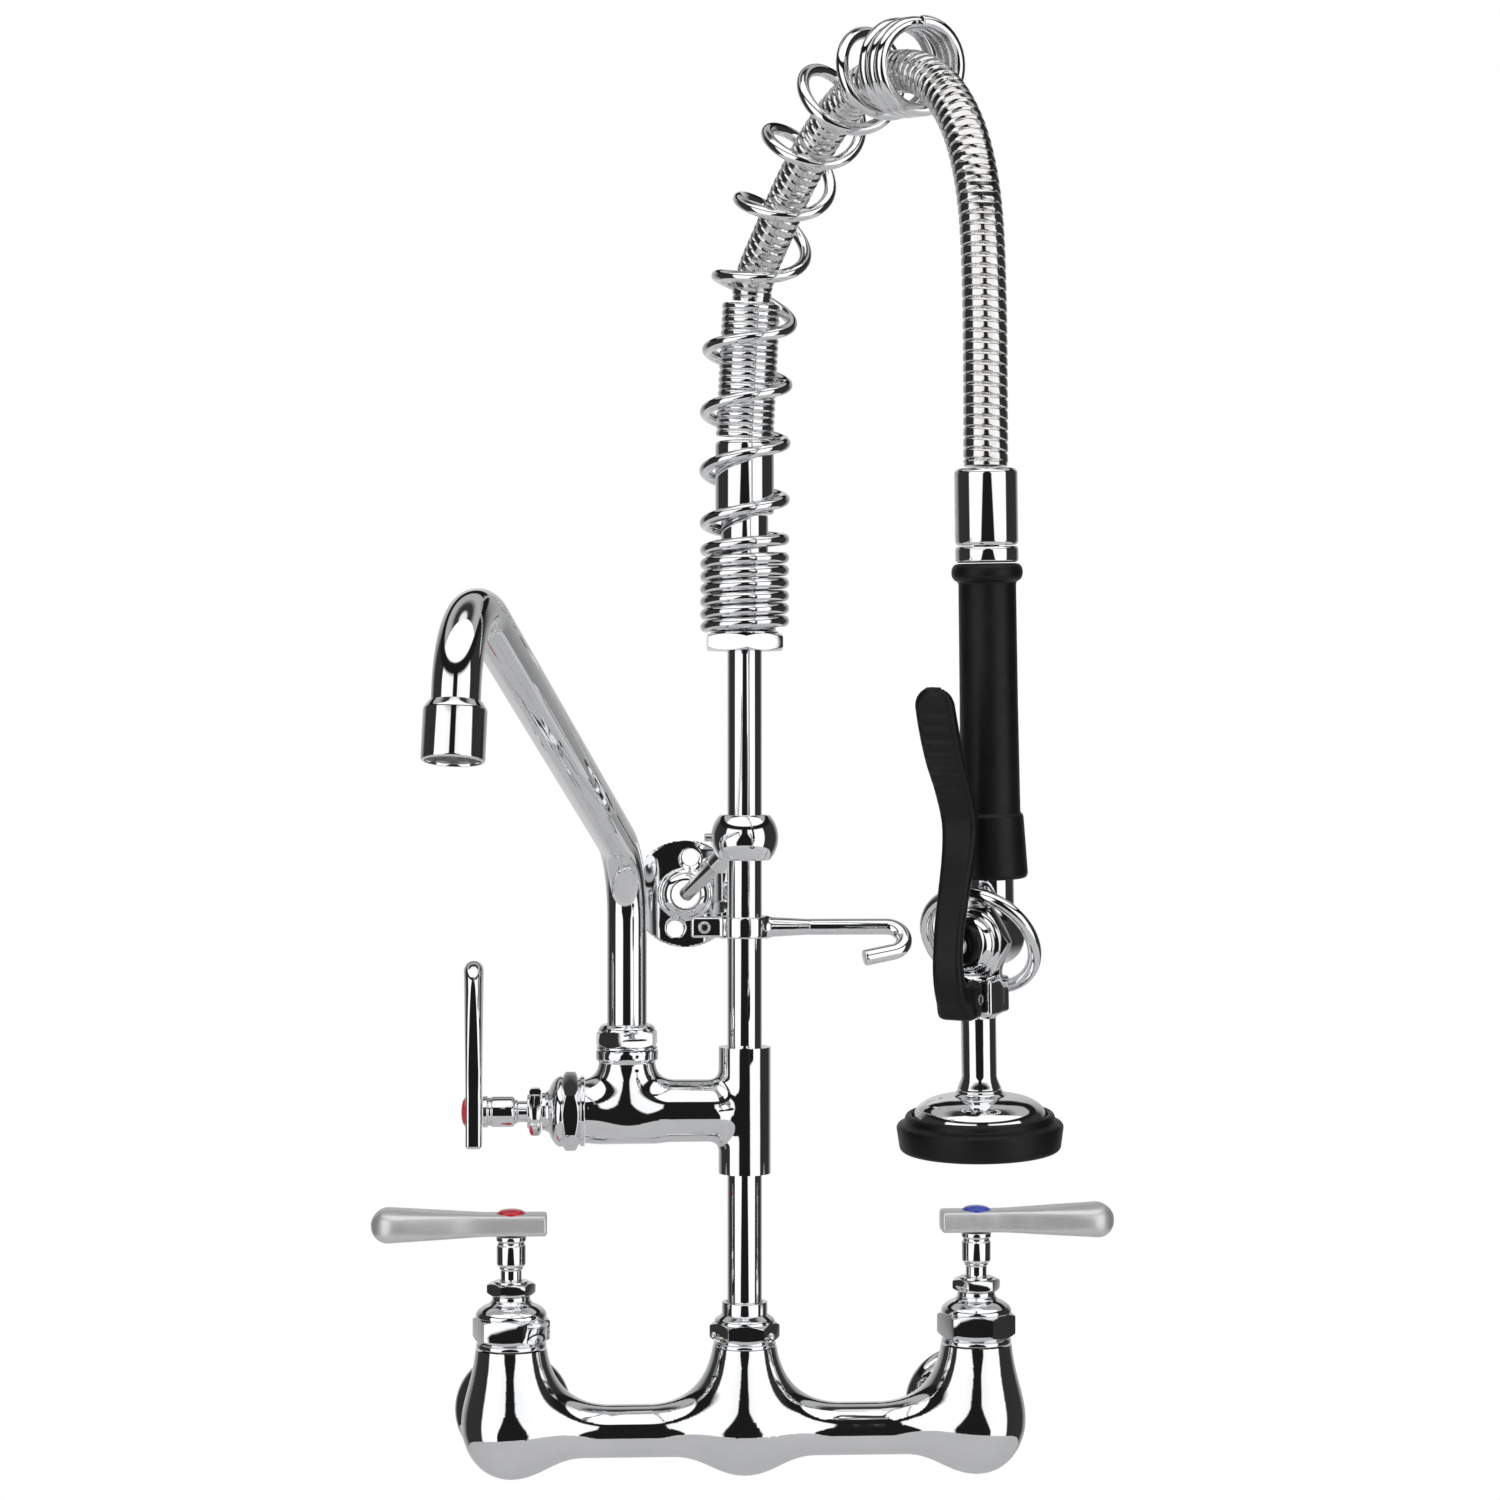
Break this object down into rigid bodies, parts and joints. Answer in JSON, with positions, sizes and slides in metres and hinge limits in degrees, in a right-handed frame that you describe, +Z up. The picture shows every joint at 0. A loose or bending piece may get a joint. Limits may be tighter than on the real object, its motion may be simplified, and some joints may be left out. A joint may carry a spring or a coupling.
{
  "type": "pre rinse faucet",
  "caption": "Wall-mounted pre-rinse faucet: mixing body with lever handles, riser with add-on swing spout, wall bracket, overhead spring and hose, and a squeeze-lever spray valve.",
  "frame": {"origin": "on the wall surface, midway between the two water inlets and at the height of their axes", "axes": "+X right as the user faces the faucet, +Y into the wall, +Z up along the riser"},
  "size_m": [0.3246, 0.3577, 0.616],
  "materials": {
    "chrome": "polished chrome plate on brass, clean and unworn",
    "satin_chrome": "satin chrome plate with soft edges",
    "brass": "plain machined brass",
    "steel": "bright stainless steel",
    "rubber": "matte black rubber, faint sheen",
    "black_plastic": "matte black moulded plastic",
    "hose_braid": "interlocked stainless steel hose, fine ribs",
    "red_button": "glossy red plastic",
    "blue_button": "glossy blue plastic"
  },
  "bodies": {
    "base": {"addon_body": "chrome", "addon_bonnet": "chrome", "addon_cartridge": "brass", "addon_packing_nut": "chrome", "bracket_ball": "chrome", "bracket_flange": "chrome", "bracket_nut": "chrome", "bracket_rod": "steel", "bracket_set_screw": "steel", "cold_bonnet": "chrome", "cold_cartridge": "brass", "cold_packing_nut": "chrome", "hook": "chrome", "hook_screw": "steel", "hose": "hose_braid", "hose_ferrule": "chrome", "hose_nipple": "chrome", "hose_sleeve": "chrome", "hot_bonnet": "chrome", "hot_cartridge": "brass", "hot_packing_nut": "chrome", "left_inlet_nipple": "brass", "left_inlet_nut": "chrome", "left_wall_flange": "chrome", "lower_riser": "chrome", "mixing_body": "chrome", "overhead_spring": "chrome", "right_inlet_nipple": "brass", "right_inlet_nut": "chrome", "right_wall_flange": "chrome", "riser_nut": "chrome", "spout_nut": "chrome", "spring_nut": "chrome", "upper_riser": "chrome"},
    "hot_handle": {"hot_stem": "chrome", "hot_lever": "satin_chrome", "hot_index": "red_button"},
    "cold_handle": {"cold_stem": "chrome", "cold_lever": "satin_chrome", "cold_index": "blue_button"},
    "addon_handle": {"addon_stem": "chrome", "addon_lever": "chrome", "addon_index": "red_button"},
    "spout": {"spout_tube": "chrome", "aerator_shell": "chrome", "aerator_screen": "steel"},
    "hose_end": {"hose_coupling": "chrome"},
    "spray": {"swivel_nut": "chrome", "grip": "rubber", "valve_body": "chrome", "valve_cap": "chrome", "spray_dome": "chrome", "spray_bumper": "rubber", "spray_face": "black_plastic", "lever_pin": "steel"},
    "trigger": {"squeeze_lever": "rubber"},
    "valve_stem": {"plunger": "steel"},
    "ring": {"hold_ring": "chrome"}
  },
  "joints": [
    {"name": "hot_turn", "type": "hinge", "parent": "base", "child": "hot_handle", "pos_m": [-0.1016, -0.05, 0.0895], "axis": [0, 0, 1], "range_deg": [0, 90]},
    {"name": "cold_turn", "type": "hinge", "parent": "base", "child": "cold_handle", "pos_m": [0.1016, -0.05, 0.0895], "axis": [0, 0, -1], "range_deg": [0, 90]},
    {"name": "addon_turn", "type": "hinge", "parent": "base", "child": "addon_handle", "pos_m": [-0.1179, -0.05, 0.1393], "axis": [1, 0, 0], "range_deg": [0, 90]},
    {"name": "spout_swing", "type": "hinge", "parent": "base", "child": "spout", "pos_m": [-0.0513, -0.05, 0.172], "axis": [0, 0, 1], "range_deg": [-75, 15]},
    {"name": "spray_pull", "type": "hinge", "parent": "base", "child": "hose_end", "pos_m": [0, -0.05, 0.4], "axis": [0.9063, 0.4226, 0], "range_deg": [0, 15], "stiffness_Nm_per_rad": 12, "springref_deg": -17.19, "deforming": ["hose", "overhead_spring"]},
    {"name": "spray_swivel", "type": "hinge", "parent": "hose_end", "child": "spray", "pos_m": [0.083, -0.22553, 0.38165], "axis": [-0.0211, -0.0574, 0.9981], "continuous": true},
    {"name": "squeeze", "type": "hinge", "parent": "spray", "child": "trigger", "pos_m": [0.07261, -0.2371, 0.20293], "axis": [-0.839, 0.5439, 0.0136], "range_deg": [0, 8], "stiffness_Nm_per_rad": 4, "springref_deg": -6.88},
    {"name": "plunger_slide", "type": "slide", "parent": "spray", "child": "valve_stem", "axis": [0.5437, 0.8372, 0.0597], "range_m": [0, 0.003]},
    {"name": "ring_swing", "type": "hinge", "parent": "spray", "child": "ring", "pos_m": [0.07416, -0.2357, 0.24282], "axis": [0.839, -0.5439, -0.0136], "range_deg": [0, 45]}
  ],
  "couplings": [
    {"joint": "plunger_slide", "follows": "squeeze", "m_per_rad": 0.0209}
  ]
}
